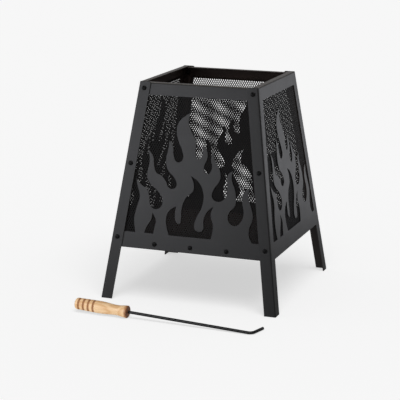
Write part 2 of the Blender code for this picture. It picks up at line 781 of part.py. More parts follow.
WALL_FRAMES = make_wall_frames(PIT)
BOLT_HOLES = make_bolt_holes(WALL_FRAMES)
make_legs(PIT, BOLT_HOLES, make_panel_seats(WALL_FRAMES))
make_panels(WALL_FRAMES, BOLT_HOLES)
make_nets(WALL_FRAMES)
make_tray(PIT, BOLT_HOLES)
make_fasteners(WALL_FRAMES)
make_handle(POKER)
make_rod(POKER)
lay_poker(POKER)
centre_on_origin(STAND)
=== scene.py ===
# %% [markdown]
# A square fire pit of black sheet steel that tapers upwards, with flames cut through its four
# walls, and the poker that lies in front of it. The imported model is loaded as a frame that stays
# as it is: it settles every size and place. The cells below give each piece the surface that the
# real one has. Some pieces keep their solid and get a finish, and others are made again in finer
# detail around it. All sizes are metres, +Z is up, and the front of the pit faces -Y.

# %% Load the frame
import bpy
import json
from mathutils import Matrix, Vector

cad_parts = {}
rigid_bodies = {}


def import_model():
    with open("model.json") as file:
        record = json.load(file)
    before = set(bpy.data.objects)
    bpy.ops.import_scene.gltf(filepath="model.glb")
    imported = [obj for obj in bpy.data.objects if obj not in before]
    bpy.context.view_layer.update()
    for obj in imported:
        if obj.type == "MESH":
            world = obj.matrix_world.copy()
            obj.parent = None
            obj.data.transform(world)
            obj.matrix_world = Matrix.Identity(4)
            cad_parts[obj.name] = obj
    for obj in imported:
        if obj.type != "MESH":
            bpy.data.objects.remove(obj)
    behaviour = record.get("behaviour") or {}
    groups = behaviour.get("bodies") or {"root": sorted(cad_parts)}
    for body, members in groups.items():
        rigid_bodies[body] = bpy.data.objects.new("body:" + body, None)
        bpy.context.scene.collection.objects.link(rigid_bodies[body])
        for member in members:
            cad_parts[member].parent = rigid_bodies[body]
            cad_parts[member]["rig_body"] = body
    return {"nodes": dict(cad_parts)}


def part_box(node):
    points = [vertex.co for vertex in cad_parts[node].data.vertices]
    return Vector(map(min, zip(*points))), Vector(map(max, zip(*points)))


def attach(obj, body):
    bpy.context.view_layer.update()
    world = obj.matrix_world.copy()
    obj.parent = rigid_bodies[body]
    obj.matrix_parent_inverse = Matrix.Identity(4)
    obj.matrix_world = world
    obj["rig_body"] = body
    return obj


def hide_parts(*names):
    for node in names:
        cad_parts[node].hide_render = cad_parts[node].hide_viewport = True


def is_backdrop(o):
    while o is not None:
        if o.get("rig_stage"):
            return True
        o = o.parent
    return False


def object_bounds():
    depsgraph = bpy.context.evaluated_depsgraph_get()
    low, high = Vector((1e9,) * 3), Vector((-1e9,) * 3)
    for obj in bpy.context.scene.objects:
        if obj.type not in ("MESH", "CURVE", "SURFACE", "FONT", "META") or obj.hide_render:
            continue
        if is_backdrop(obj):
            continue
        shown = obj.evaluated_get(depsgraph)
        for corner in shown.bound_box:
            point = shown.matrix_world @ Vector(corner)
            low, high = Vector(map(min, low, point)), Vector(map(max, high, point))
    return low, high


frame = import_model()
solid_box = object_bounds()

# %% Bring in Blender's tools
import json
import math

import bmesh
import bpy
import numpy as np
from mathutils import Matrix, Vector

# %% [markdown]
# The four walls are alike and lean towards the pit's middle, so each is easiest to shape in a
# frame of its own: x runs along the wall, y goes into the pit from the legs' outer face, and z
# climbs the slope. How far a wall leans could be typed in, but the legs already hold it, so the
# spans at their feet and at their tops are measured on the frame instead.

# %% Measure the stand
SAME_PLACE = 1e-5
SAME_DIGITS = 5
WALLS = ("front", "right", "rear", "left")

tray_low, tray_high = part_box("base_tray")
leg_low, leg_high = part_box("leg_front_left")
pit_axis = Vector(((tray_low.x + tray_high.x) / 2, (tray_low.y + tray_high.y) / 2, 0))
height = leg_high.z
leg_points = [vert.co for vert in frame["nodes"]["leg_front_left"].data.vertices]
foot_half = pit_axis.x - leg_low.x
top_half = pit_axis.x - min(point.x for point in leg_points if point.z > height - SAME_PLACE)
lean = math.atan2(foot_half - top_half, height)
print(f"stand: {height:.3f} high, {2 * foot_half:.4f} at the feet, {2 * top_half:.4f} at the top")

# %% Set up the wall frames
wall_frames = {
    wall: (
        Matrix.Translation(pit_axis)
        @ Matrix.Rotation(turn * math.pi / 2, 4, "Z")
        @ Matrix.Translation((0, -foot_half, 0))
        @ Matrix.Rotation(-lean, 4, "X")
    )
    for turn, wall in enumerate(WALLS)
}


def wall_of(node):
    """The wall that a node belongs to, which is the first word of its name."""
    return node.split("_")[0]


def welded_solid(node, place):
    """A copy of a node's solid in a frame of our own, its split corners joined again."""
    solid = bmesh.new()
    solid.from_mesh(frame["nodes"][node].data)
    solid.transform(place.inverted())
    bmesh.ops.remove_doubles(solid, verts=solid.verts, dist=SAME_PLACE)
    return solid


def points_of(node, place):
    """The corners of a node's solid in a frame of our own."""
    solid = welded_solid(node, place)
    points = [vert.co.copy() for vert in solid.verts]
    solid.free()
    return points


def evenly(first, last, count):
    """The values from the first to the last, in this many even steps."""
    return [first + (last - first) * k / count for k in range(count + 1)]


print(f"walls lean {math.degrees(lean):.2f} degrees inwards")

# %% [markdown]
# The camera, the lights and the pieces come into the scene in the same way: an object is made
# round its data, set in its place and linked to the scene. A shape that is built in mesh code
# becomes a mesh first. A few lines do both, so they are written once and used by the cells below.
# The camera and the lamps are placed by two angles, which give a direction from the pit.

# %% Put things in the scene
def put_in_scene(name, data, place=Matrix.Identity(4)):
    """Adds an object round this data, in its place."""
    thing = bpy.data.objects.new(name, data)
    thing.matrix_world = place
    bpy.context.scene.collection.objects.link(thing)
    return thing


def mesh_of(name, shape):
    """Turns a shape from mesh code into a mesh."""
    mesh = bpy.data.meshes.new(name)
    shape.to_mesh(mesh)
    shape.free()
    return mesh


def towards(azimuth, elevation):
    """The direction at two angles, the azimuth counted from the pit's front to its right."""
    return Vector((
        math.sin(azimuth) * math.cos(elevation),
        -math.cos(azimuth) * math.cos(elevation),
        math.sin(elevation),
    ))


print("things can be put in the scene")

# %% [markdown]
# The camera stands where a photographer with a long lens would: a little to the right of the
# pit's front, half a metre above its rim and more than three metres away, which keeps the legs'
# edges nearly parallel. Its place is given by two angles and a distance from the middle of the
# pit, and by a short step aside and down, because the pit isn't in the middle of the picture.

# %% Place the camera
CAMERA_AZIMUTH = math.radians(20.332)
CAMERA_ELEVATION = math.radians(13.370)
CAMERA_ROLL = math.radians(0.237)
CAMERA_DISTANCE = 3.2101
CAMERA_ASIDE = -0.04210
CAMERA_LIFT = -0.04346
CAMERA_LENS = 127.10
SENSOR_WIDTH = 36.0

back = towards(CAMERA_AZIMUTH, CAMERA_ELEVATION)
right = Vector((math.cos(CAMERA_AZIMUTH), math.sin(CAMERA_AZIMUTH), 0))
up = back.cross(right)
camera_place = (
    pit_axis + Vector((0, 0, height / 2))
    + back * CAMERA_DISTANCE + right * CAMERA_ASIDE + up * CAMERA_LIFT
)
camera = put_in_scene(
    "camera", bpy.data.cameras.new("camera"),
    Matrix.Translation(camera_place)
    @ Matrix((right, up, back)).transposed().to_4x4()
    @ Matrix.Rotation(CAMERA_ROLL, 4, "Z"))
camera.data.lens = CAMERA_LENS
camera.data.sensor_width = SENSOR_WIDTH
bpy.context.scene.camera = camera
print("camera at", [round(value, 3) for value in camera_place])

# %% [markdown]
# Shader maths reads best as sums. The class Value wraps one socket of a material, and adding,
# subtracting or multiplying Values adds the Math nodes. The class Finish holds a material, and
# every other node comes from its one method, which sets the node's settings before its inputs.
# Colours are mixed with Mix nodes, because a Math node would turn them grey.

# %% Write shader maths as sums
class Value:
    """A number that changes over a surface."""

    def __init__(self, finish, socket):
        self.finish = finish
        self.socket = socket

    def maths(self, operation, *terms):
        return self.finish.node("ShaderNodeMath", {"operation": operation}, dict(enumerate(terms)))

    def __add__(self, other):
        return self.maths("ADD", self, other)

    def __sub__(self, other):
        return self.maths("SUBTRACT", self, other)

    def __rsub__(self, other):
        return self.maths("SUBTRACT", other, self)

    def __mul__(self, other):
        return self.maths("MULTIPLY", self, other)

    def __abs__(self):
        return self.maths("ABSOLUTE", self)

    def fraction(self):
        """What is left after the whole number below it is taken away."""
        return self.maths("FRACT", self)

    __radd__ = __add__
    __rmul__ = __mul__


# %% Hold a material and add its nodes
class Finish:
    """One material, built on its Principled shader."""

    def __init__(self, name, **constants):
        self.material = bpy.data.materials.new(name)
        self.material.use_nodes = True
        self.tree = self.material.node_tree
        self.shader = self.tree.nodes["Principled BSDF"]
        self.shade(**constants)

    def shade(self, **sockets):
        """Feeds the shader's sockets, named with _ for each space."""
        for socket, value in sockets.items():
            self.feed(self.shader.inputs[socket.replace("_", " ")], value)

    def feed(self, socket, value):
        """Links a Value to a socket, or sets the socket to a plain number or colour."""
        if isinstance(value, Value):
            self.tree.links.new(value.socket, socket)
        else:
            socket.default_value = value

    def node(self, kind, settings, inputs, output=0):
        """Adds a node, its settings first, and returns one of its outputs."""
        made = self.tree.nodes.new(kind)
        for setting, value in settings.items():
            if setting == "stops":
                set_stops(made.color_ramp, value)
            else:
                setattr(made, setting, value)
        for socket, value in inputs.items():
            self.feed(made.inputs[socket], value)
        return Value(self, made.outputs[output])


def set_stops(ramp, stops):
    """Gives a colour ramp its (place, colour) stops."""
    while len(ramp.elements) < len(stops):
        ramp.elements.new(1.0)
    for element, (place, colour) in zip(ramp.elements, stops):
        element.position = place
        element.color = (*colour, 1.0)


print("shader helpers are ready")

# %% [markdown]
# A few small recipes are used by most finishes: where a point lies and which way it faces, maths
# on vectors, a cloudy noise of a given size, a smooth step between two values, a mix of two
# colours, and a bump. Most are one node, and their names keep the finishes short enough to read.

# %% Name the recipes that the finishes share
MIX_FACTOR, MIX_FIRST, MIX_SECOND, MIX_RESULT = 0, 6, 7, 2


def place_on(finish):
    return finish.node("ShaderNodeTexCoord", {}, {}, "Object")


def normal_at(place):
    return place.finish.node("ShaderNodeTexCoord", {}, {}, "Normal")


def one_axis(vector, axis):
    return vector.finish.node("ShaderNodeSeparateXYZ", {}, {"Vector": vector}, axis)


def vector_maths(operation, *terms, output=0):
    """Vector Math on a Value and, where it needs one, a second term."""
    settings = {"operation": operation}
    return terms[0].finish.node("ShaderNodeVectorMath", settings, dict(enumerate(terms)), output)


def clouds(place, size, detail=2.0, roughness=0.5):
    """Noise from 0 to 1, whose patches are about this size."""
    inputs = {"Vector": place, "Scale": 1 / size, "Detail": detail, "Roughness": roughness}
    return place.finish.node("ShaderNodeTexNoise", {}, inputs)


def step_between(value, low, high):
    """Rises smoothly from 0 at the low value to 1 at the high one, or falls if they swap."""
    inputs = {"Value": value, "From Min": low, "From Max": high}
    return value.finish.node("ShaderNodeMapRange", {"interpolation_type": "SMOOTHSTEP"}, inputs)


def mix_colours(factor, first, second):
    """From the first colour, where the factor is 0, to the second."""
    def socket_value(colour):
        return colour if isinstance(colour, Value) else (*colour, 1.0)

    inputs = {MIX_FACTOR: factor, MIX_FIRST: socket_value(first), MIX_SECOND: socket_value(second)}
    return factor.finish.node("ShaderNodeMix", {"data_type": "RGBA"}, inputs, MIX_RESULT)


def mottle(place, size, first, second, detail=2.0):
    """Clouds of two colours."""
    return mix_colours(clouds(place, size, detail), first, second)


def roughen(heights, depth):
    """Bumps of this depth."""
    inputs = {"Strength": 1.0, "Distance": depth, "Height": heights}
    heights.finish.shade(Normal=heights.finish.node("ShaderNodeBump", {}, inputs))


print("recipes are ready")

# %% [markdown]
# The floor is a plain pale sheet, far larger than the picture. In a studio it would be lit until
# it is almost white, and that much light would wash out a black object. So here the floor glows a
# little by itself, and only about half of its brightness is light that a shadow can take away.
# Black paint is seen by what it mirrors. The floor doesn't show in the gloss, which leaves the
# low edges and folds of the steel dark.

# %% Lay the floor
FLOOR_HALF = 20.0
FLOOR_COLOUR = (0.80, 0.80, 0.80)
FLOOR_ROUGHNESS = 0.9
FLOOR_GLOW = 0.578

floor_shape = bmesh.new()
bmesh.ops.create_grid(floor_shape, x_segments=1, y_segments=1, size=FLOOR_HALF)
floor = put_in_scene("studio_floor", mesh_of("studio_floor", floor_shape))
floor.visible_glossy = False
floor_finish = Finish(
    "pale_floor", Base_Color=(*FLOOR_COLOUR, 1.0), Roughness=FLOOR_ROUGHNESS,
    Specular_IOR_Level=0.0, Emission_Color=(1.0, 1.0, 1.0, 1.0), Emission_Strength=FLOOR_GLOW)
floor.data.materials.append(floor_finish.material)
floor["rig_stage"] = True
print("floor:", 2 * FLOOR_HALF, "wide")

# %% [markdown]
# Two tall softboxes stand round the pit, one in front to the left and one behind to the right.
# Each is mirrored by one of the two walls that face the camera, most by its top, so the walls
# darken towards the feet, and the corner between them mirrors the dark studio between the boxes.
# A dimmer box straight behind is there for the level rims, which mirror it at a low angle, and
# one on the left lights the side that the picture doesn't show. Light linking keeps the boxes'
# light off the floor, where it would leave pools. A wide sun high in front lights the floor
# evenly and draws the soft shadows. Noise is cleaned after the picture is made, with the help of
# pictures of colours and normals. Those are left unsmoothed here, because smoothing them wipes
# out the fine nets.

# %% Light the studio
SKY_COLOUR = (1.0, 1.0, 1.0)
SKY_STRENGTH = 0.17
SUN_AZIMUTH = math.radians(30)
SUN_ELEVATION = math.radians(64)
SUN_WIDTH = math.radians(45)
SUN_STRENGTH = 0.94
SOFTBOX_COLOUR = (0.940, 0.948, 1.000)
# Each softbox: its azimuth in degrees, distance, width, foot's level, height and glow
SOFTBOXES = {
    "front_softbox": (-33, 1.60, 1.20, 0.10, 0.90, 1.90),
    "rear_softbox": (147, 1.25, 0.50, 0.00, 0.70, 1.00),
    "back_softbox": (202, 1.60, 0.90, 0.00, 0.90, 0.40),
    "left_softbox": (-100, 1.60, 1.00, 0.00, 0.90, 0.85),
}


def hang_lamp(name, kind, direction, place):
    """Adds a lamp that looks back along this direction."""
    turn = direction.to_track_quat("Z", "Y").to_matrix().to_4x4()
    lamp = put_in_scene(name, bpy.data.lights.new(name, kind), Matrix.Translation(place) @ turn)
    lamp.visible_camera = False
    return lamp


world = bpy.data.worlds.new("studio_sky")
bpy.context.scene.world = world
world.use_nodes = True
sky = world.node_tree.nodes["Background"]
sky.inputs["Color"].default_value = (*SKY_COLOUR, 1.0)
sky.inputs["Strength"].default_value = SKY_STRENGTH

sun = hang_lamp("wide_sun", "SUN", towards(SUN_AZIMUTH, SUN_ELEVATION), Vector((0, 0, 1)))
sun.data.angle = SUN_WIDTH
sun.data.energy = SUN_STRENGTH
print("lights:", world.name, "and", sun.name)

# %% Stand the softboxes round the pit
# A rectangular lamp shines with a quarter of its power for each square metre
POWER_PER_GLOW = 4.0

all_but_floor = bpy.data.collections.new("all_but_floor")
all_but_floor.objects.link(floor)
all_but_floor.collection_objects[0].light_linking.link_state = "EXCLUDE"
for name, (azimuth, distance, width, foot, tall, glow) in SOFTBOXES.items():
    outward = towards(math.radians(azimuth), 0)
    middle = pit_axis + distance * outward
    middle.z = foot + tall / 2
    softbox = hang_lamp(name, "AREA", outward, middle)
    softbox.data.color = SOFTBOX_COLOUR
    softbox.data.shape = "RECTANGLE"
    softbox.data.size = width
    softbox.data.size_y = tall
    softbox.data.energy = POWER_PER_GLOW * glow * width * tall
    softbox.light_linking.receiver_collection = all_but_floor
bpy.context.scene.view_settings.view_transform = "Standard"
bpy.context.scene.cycles.denoising_prefilter = "NONE"
print("softboxes:", *SOFTBOXES)

# %% [markdown]
# The steel is powder coated: a fine black powder is sprayed on and baked, which leaves a matt
# skin with a grain like that of fine orange peel. Its colour hardly changes, so the detail is in
# the grain and in faint clouds of shine. The inner faces get a brown film that is partly soot and
# partly painted light, the reddish glow of a fire painted on. The level rims are painted a
# lighter, mottled brown-grey where they look up, which is painted light. One finish can hold all
# of it: the side that a point is on follows from its normal and its direction from the pit's
# middle, so no second material is needed.

# %% Mix the powder coat
PAINT_COLOUR = (0.0080, 0.0080, 0.0082)
PAINT_COLOUR_WORN = (0.0100, 0.0100, 0.0102)
# The inner film's colour is partly soot and partly painted light: a fire's reddish glow painted on.
SOOT_AND_FIRELIGHT_COLOUR = (0.0480, 0.0260, 0.0190)
SOOT_AND_FIRELIGHT_COLOUR_THICK = (0.0130, 0.0085, 0.0070)
# Painted light: the rims' up-facing tops are painted this lighter brown-grey.
RIM_PAINTED_LIGHT_COLOUR = (0.105, 0.092, 0.080)
RIM_PAINTED_LIGHT_COLOUR_DARK = (0.060, 0.048, 0.038)
PAINT_ROUGHNESS = 0.42
SOOT_ROUGHNESS = 0.80
GRAIN_SIZE = 0.0013
GRAIN_DEPTH = 0.00004
PAINT_CLOUD_SIZE = 0.09
SHINE_CLOUD_SIZE = 0.035
SHINE_CLOUD_SHARE = 0.07
SHINE_DETAIL = 3
GRAIN_DETAIL = 1
SOOT_CLOUD_SIZE = 0.06
SOOT_DETAIL = 5
FACES_IN, FACES_IN_FULLY = -0.30, -0.50
LOOKS_UP, LOOKS_UP_FULLY = 0.6, 0.9
RIM_REACH, RIM_REACH_FULLY = 0.025, 0.015
RIM_CLOUD_SIZE = 0.012


def faces_inwards(place):
    """1 on faces that look towards the pit's middle, and 0 on the others."""
    offset = vector_maths("SUBTRACT", place, pit_axis)
    flat = vector_maths("MULTIPLY", offset, (1, 1, 0))
    outward = vector_maths("NORMALIZE", flat)
    facing = vector_maths("DOT_PRODUCT", normal_at(place), outward, output="Value")
    return step_between(facing, FACES_IN, FACES_IN_FULLY)


def looks_up(place):
    """1 on faces that look up, and 0 on the others."""
    rise = one_axis(normal_at(place), "Z")
    return step_between(rise, LOOKS_UP, LOOKS_UP_FULLY)


# The mask of the rims' painted light.
def on_rim(place):
    """1 on the level rims at the top of the walls, and 0 elsewhere."""
    from_top = height - one_axis(place, "Z")
    return looks_up(place) * step_between(from_top, RIM_REACH, RIM_REACH_FULLY)


# Soot mottle, its reddish brown partly painted firelight.
def soot_and_firelight_film(place):
    return mottle(place, SOOT_CLOUD_SIZE, SOOT_AND_FIRELIGHT_COLOUR, SOOT_AND_FIRELIGHT_COLOUR_THICK, SOOT_DETAIL)


def powder_coat(name, soot_and_painted_light_reach, gloss=0.5, roughness=PAINT_ROUGHNESS):
    """Black powder coat, with soot and painted firelight inside and painted light on its rims, by
    this share.
    """
    finish = Finish(name, Specular_IOR_Level=gloss)
    place = place_on(finish)
    # Inner faces: soot, with painted firelight in its colour.
    soot_and_firelight = faces_inwards(place) * soot_and_painted_light_reach
    paint = mottle(place, PAINT_CLOUD_SIZE, PAINT_COLOUR, PAINT_COLOUR_WORN)
    # Painted light on the rims: a lighter, mottled brown-grey.
    rim_painted_light = mottle(place, RIM_CLOUD_SIZE, RIM_PAINTED_LIGHT_COLOUR, RIM_PAINTED_LIGHT_COLOUR_DARK, SOOT_DETAIL)
    coat = mix_colours(soot_and_firelight, paint, soot_and_firelight_film(place))
    shine = clouds(place, SHINE_CLOUD_SIZE, SHINE_DETAIL) - 0.5
    clean_roughness = roughness + SHINE_CLOUD_SHARE * shine
    finish.shade(
        Base_Color=mix_colours(on_rim(place) * soot_and_painted_light_reach, coat, rim_painted_light),
        Roughness=clean_roughness + (SOOT_ROUGHNESS - clean_roughness) * soot_and_firelight)
    roughen(clouds(place, GRAIN_SIZE, GRAIN_DETAIL), GRAIN_DEPTH)
    return finish.material


LEG_GLOSS = 0.45
# The legs' share of the soot, the painted firelight and the rims' painted light.
LEG_SOOT_AND_PAINTED_LIGHT = 0.35

panel_paint = powder_coat("powder_coat_panels", 1.0)
leg_paint = powder_coat("powder_coat_legs", LEG_SOOT_AND_PAINTED_LIGHT, LEG_GLOSS)
print("mixed", panel_paint.name, "and", leg_paint.name)

# %% [markdown]
# The legs are angles folded from two-millimetre sheet. Their solids already have the right
# shape, with both bends rounded, so they stay. What the solids lack is the broken edge that a
# file and a thick coat of powder leave on cut steel. A Bevel modifier adds it without touching
# the mesh, after a Weld modifier has joined the corners that the file format split.

# %% Finish the legs
EDGE_BREAK = 0.0004
EDGE_SEGMENTS = 2
SHARP_EDGE = math.radians(30)
LEGS = ("leg_front_left", "leg_front_right", "leg_rear_right", "leg_rear_left")


def finish_solid(node, edge_break, material):
    """Gives a solid that stays its material, broken edges by modifiers, and flat faces."""
    solid = frame["nodes"][node]
    solid.data.materials.clear()
    solid.data.materials.append(material)
    weld = solid.modifiers.new("join_corners", "WELD")
    weld.merge_threshold = SAME_PLACE
    bevel = solid.modifiers.new("broken_edges", "BEVEL")
    bevel.width = edge_break
    bevel.segments = EDGE_SEGMENTS
    bevel.limit_method = "ANGLE"
    bevel.angle_limit = SHARP_EDGE
    bevel.miter_outer = "MITER_ARC"
    solid.modifiers.new("flat_faces", "WEIGHTED_NORMAL")


for leg in LEGS:
    finish_solid(leg, EDGE_BREAK, leg_paint)
print("legs:", ", ".join(LEGS))

# %% [markdown]
# A panel is laser cut from flat sheet and then folded, and it is made the same way here. The
# frame's panel is drawn with few points, so its outlines are read first, from the edges round
# its outer face. Points are then added on a smooth curve through the ones that were read. A
# flame's tip has to stay a tip, so a point where the outline turns sharply counts as a corner,
# and the curve starts anew there.

# %% Read the outlines of a panel
def outer_outlines(solid):
    """The closed outlines round the outer face of a sheet, as (along, up the slope) points."""
    face_depth = min(vert.co.y for vert in solid.verts)
    outer = {
        face for face in solid.faces
        if all(abs(vert.co.y - face_depth) < SAME_PLACE for vert in face.verts)
    }
    border = [edge for edge in solid.edges if sum(face in outer for face in edge.link_faces) == 1]
    neighbours = {}
    for edge in border:
        first, second = edge.verts
        neighbours.setdefault(first, []).append(second)
        neighbours.setdefault(second, []).append(first)
    outlines = []
    waiting = dict.fromkeys(neighbours)
    while waiting:
        here = next(iter(waiting))
        outline = []
        while here:
            del waiting[here]
            outline.append(Vector((here.co.x, here.co.z)))
            here = next((vert for vert in neighbours[here] if vert in waiting), None)
        outlines.append(outline)
    return outlines


front_solid = welded_solid("front_panel", wall_frames["front"])
front_outlines = sorted(outer_outlines(front_solid), key=len)
print("points in the front panel's outlines:", [len(outline) for outline in front_outlines])

# %% Smooth an outline between its corners
CORNER_TURN = math.radians(54)
OUTLINE_STEP = 0.0015


def turn_at(before, here, after):
    return (here - before).angle(after - here)


def curve_point(p0, p1, p2, p3, share):
    """A point between p1 and p2 on a smooth curve through all four."""
    s = share
    return 0.5 * (
        2 * p1 + (p2 - p0) * s
        + (2 * p0 - 5 * p1 + 4 * p2 - p3) * s ** 2
        + (3 * p1 - p0 - 3 * p2 + p3) * s ** 3
    )


def smoothed(points, step, closed=True):
    """Adds points to an outline, about a step apart, without rounding its corners."""
    count = len(points)
    corner = [
        turn_at(points[i - 1], points[i], points[(i + 1) % count]) > CORNER_TURN
        for i in range(count)
    ]
    if not closed:
        corner[0] = corner[-1] = True
    dense = []
    for i in range(count if closed else count - 1):
        here, after = points[i], points[(i + 1) % count]
        ends_are_corners = corner[i] and corner[(i + 1) % count]
        before = 2 * here - after if corner[i] else points[i - 1]
        beyond = 2 * after - here if corner[(i + 1) % count] else points[(i + 2) % count]
        pieces = 1 if ends_are_corners else math.ceil((after - here).length / step)
        dense += [curve_point(before, here, after, beyond, k / pieces) for k in range(pieces)]
    if not closed:
        dense.append(points[-1])
    return dense


longest = front_outlines[-1]
print("the longest grows from", len(longest), "to", len(smoothed(longest, OUTLINE_STEP)), "points")

# %% [markdown]
# The sheet is a flat curve object first, with the sheet's edge and all its holes as outlines. A
# small bevel on the curve breaks the cut edges, and an offset keeps the size. Bolt holes were
# drawn with ten sides, so they get true circles. The blank is longer than the wall by the strip
# that becomes the rim.

# %% Draw the flat blank
CUT_EDGE_BREAK = 0.00015
CAP_GAP = 0.0000075
HOLE_POINTS = 32
ROUND_SPREAD = 0.0001


def circle_points(centre, radius):
    turns = evenly(0, 2 * math.pi, HOLE_POINTS)[:-1]
    return [centre + radius * Vector((math.cos(turn), math.sin(turn))) for turn in turns]


def finer(outline):
    """A bolt hole as a true circle, or a flame's outline smoothed."""
    centre = sum(outline, Vector((0, 0))) / len(outline)
    reaches = [(point - centre).length for point in outline]
    if max(reaches) - min(reaches) < ROUND_SPREAD:
        return circle_points(centre, max(reaches))
    return smoothed(outline, OUTLINE_STEP)


def flat_sheet(name, outlines, thickness, edge_break):
    """A closed flat body with these outlines, its broken edges inside its size."""
    curve = bpy.data.curves.new(name, "CURVE")
    curve.dimensions = "2D"
    curve.fill_mode = "BOTH"
    curve.extrude = thickness / 2 - edge_break
    curve.bevel_depth = edge_break
    curve.bevel_resolution = 0
    curve.offset = -edge_break
    for outline in outlines:
        add_line(curve, [(x, y, 0) for x, y in outline]).use_cyclic_u = True
    return body_of_curve(curve)


def add_line(curve, places):
    """A line of straight steps from place to place."""
    spline = curve.splines.new("POLY")
    spline.points.add(len(places) - 1)
    for point, place in zip(spline.points, places):
        point.co = (*place, 1)
    return spline


def body_of_curve(curve):
    """Turns a curve into a closed shape, its caps joined on."""
    holder = put_in_scene(curve.name, curve)
    depsgraph = bpy.context.evaluated_depsgraph_get()
    mesh = bpy.data.meshes.new_from_object(holder.evaluated_get(depsgraph))
    shape = bmesh.new()
    shape.from_mesh(mesh)
    bpy.data.objects.remove(holder)
    bpy.data.meshes.remove(mesh)
    bmesh.ops.remove_doubles(shape, verts=shape.verts, dist=CAP_GAP)
    bmesh.ops.recalc_face_normals(shape, faces=shape.faces)
    return shape


print("cut edges are broken by", CUT_EDGE_BREAK)

# %% [markdown]
# The rim is folded in until it lies level, round a bend that starts where the wall ends. A fold
# is a map from the flat blank to the bent sheet: below the bend nothing changes, along it the
# length becomes an angle, and past it the sheet runs straight again. The mesh needs crossing
# edges wherever it bends, so it is sliced there first.

# %% Fold the rim
FOLD_SLICES = 8
ON_CUT = 0.000001


def sliced(shape, place, normal, clear_outer=False):
    """Cuts a shape along a plane, and returns what lies on the cut."""
    return bmesh.ops.bisect_plane(
        shape, geom=[*shape.verts, *shape.edges, *shape.faces], plane_co=place, plane_no=normal,
        clear_outer=clear_outer, dist=ON_CUT)["geom_cut"]


class Fold:
    """The bend along a panel's top, measured on the frame's solid."""

    def __init__(self, solid):
        ys = [vert.co.y for vert in solid.verts]
        self.face = min(ys)
        outer = [vert.co for vert in solid.verts if abs(vert.co.y - self.face) < SAME_PLACE]
        self.start = max(point.z for point in outer)
        self.angle = math.pi / 2 - lean
        tip = max((vert.co for vert in solid.verts), key=lambda point: point.z)
        level_rise = tip.z - self.start
        straight = Vector((math.sin(self.angle), math.cos(self.angle)))
        across = tip.y - self.face
        # The tip is the bend's corner plus the straight strip: two unknowns in two equations
        bend_y, bend_z = 1 - math.cos(self.angle), math.sin(self.angle)
        determinant = bend_y * straight.y - bend_z * straight.x
        self.radius = (across * straight.y - level_rise * straight.x) / determinant
        self.strip = (level_rise * bend_y - across * bend_z) / determinant
        self.end = self.start + self.radius * self.angle
        self.top = self.end + self.strip

    def place(self, along, slope, depth):
        """Where a point of the flat blank lies once the sheet is folded."""
        if slope <= self.start:
            return Vector((along, self.face + depth, slope))
        turn = min((slope - self.start) / self.radius, self.angle)
        past = max(slope - self.end, 0.0)
        inner = self.radius - depth
        return Vector((
            along,
            self.face + self.radius - inner * math.cos(turn) + past * math.sin(turn),
            self.start + inner * math.sin(turn) + past * math.cos(turn),
        ))


front_fold = Fold(front_solid)
front_solid.free()
print("fold:", round(front_fold.radius, 5), "bend radius,", round(front_fold.strip, 5), "of rim")

# %% Cut and fold the four panels
def half_at(points, slope_test):
    return max(point.x for point in points if slope_test(point))


def blank_edge(solid, fold):
    """The sheet's own edge, flat: the leaning wall, the bend and then the rim's strip."""
    points = [vert.co for vert in solid.verts]
    foot = min(point.z for point in points)
    foot_at = half_at(points, lambda point: point.z < foot + SAME_PLACE)
    outer = [point for point in points if abs(point.y - fold.face) < SAME_PLACE]
    bend_at = half_at(outer, lambda point: point.z > fold.start - SAME_PLACE)
    tip = max(points, key=lambda point: (round(point.z, SAME_DIGITS), point.x))
    bend_end = fold.place(0, fold.end, 0)
    strip_at = half_at(points, lambda point: (point - bend_end).yz.length < 2 * SAME_PLACE)
    half = [(foot_at, foot), (bend_at, fold.start), (strip_at, fold.end), (tip.x, fold.top)]
    return [Vector(point) for point in half] + [Vector((-x, y)) for x, y in reversed(half)]


def folded_panel(node):
    """A panel made again from its solid: cut flat, sliced across the bend, and folded."""
    solid = welded_solid(node, wall_frames[wall_of(node)])
    fold = Fold(solid)
    thickness = min(
        vert.co.y for vert in solid.verts
        if vert.co.y > fold.face + SAME_PLACE and vert.co.z < fold.start / 2
    ) - fold.face
    cut_outlines = sorted(outer_outlines(solid), key=lambda outline: -max(p.y for p in outline))
    outlines = [blank_edge(solid, fold)] + [finer(outline) for outline in cut_outlines[1:]]
    solid.free()
    sheet = flat_sheet(node, outlines, thickness, CUT_EDGE_BREAK)
    for level in evenly(fold.start, fold.end, FOLD_SLICES):
        sliced(sheet, (0, level, 0), (0, 1, 0))
    for vert in sheet.verts:
        vert.co = fold.place(vert.co.x, vert.co.y, thickness / 2 - vert.co.z)
    sheet.transform(wall_frames[wall_of(node)])
    return sheet


def finished_mesh(name, shape, material):
    """A mesh that is smooth between its sharp edges, with its finish."""
    mesh = mesh_of(name, shape)
    mesh.shade_smooth()
    mesh.set_sharp_from_angle(angle=SHARP_EDGE)
    mesh.materials.append(material)
    return mesh


def show_piece(name, mesh, node, place=Matrix.Identity(4)):
    """A piece that stands for one node in this place, rides on the node's body and hides the node.
    """
    piece = put_in_scene(name, mesh, place)
    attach(piece, frame["nodes"][node]["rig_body"])
    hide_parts(node)
    return piece


for wall in WALLS:
    node = f"{wall}_panel"
    mesh = finished_mesh(f"{node}_sheet", folded_panel(node), panel_paint)
    panel = show_piece(mesh.name, mesh, node)
    panel.modifiers.new("flat_faces", "WEIGHTED_NORMAL")
    print(mesh.name, len(mesh.polygons), "faces")

# %% [markdown]
# Behind each panel is a net of expanded metal: sheet that is slit in staggered rows and pulled
# until the slits open into diamonds. Its strands are tilted, because the pull turns them, and
# that is what makes such a net glitter. A net cut out with Boolean holes would be flat and slow.
# Here each diamond gives four corners, and faces are set between the corners of neighbours, with
# its top and bottom corners pushed to opposite sides.

# %% Weave the corners of the diamonds
NET_STEP_ACROSS = 0.0054
NET_STEP_UP = 0.0093
STRAND_WIDTH = 0.0018
STRAND_SHEET = 0.0006
STRAND_TILT = 0.0003


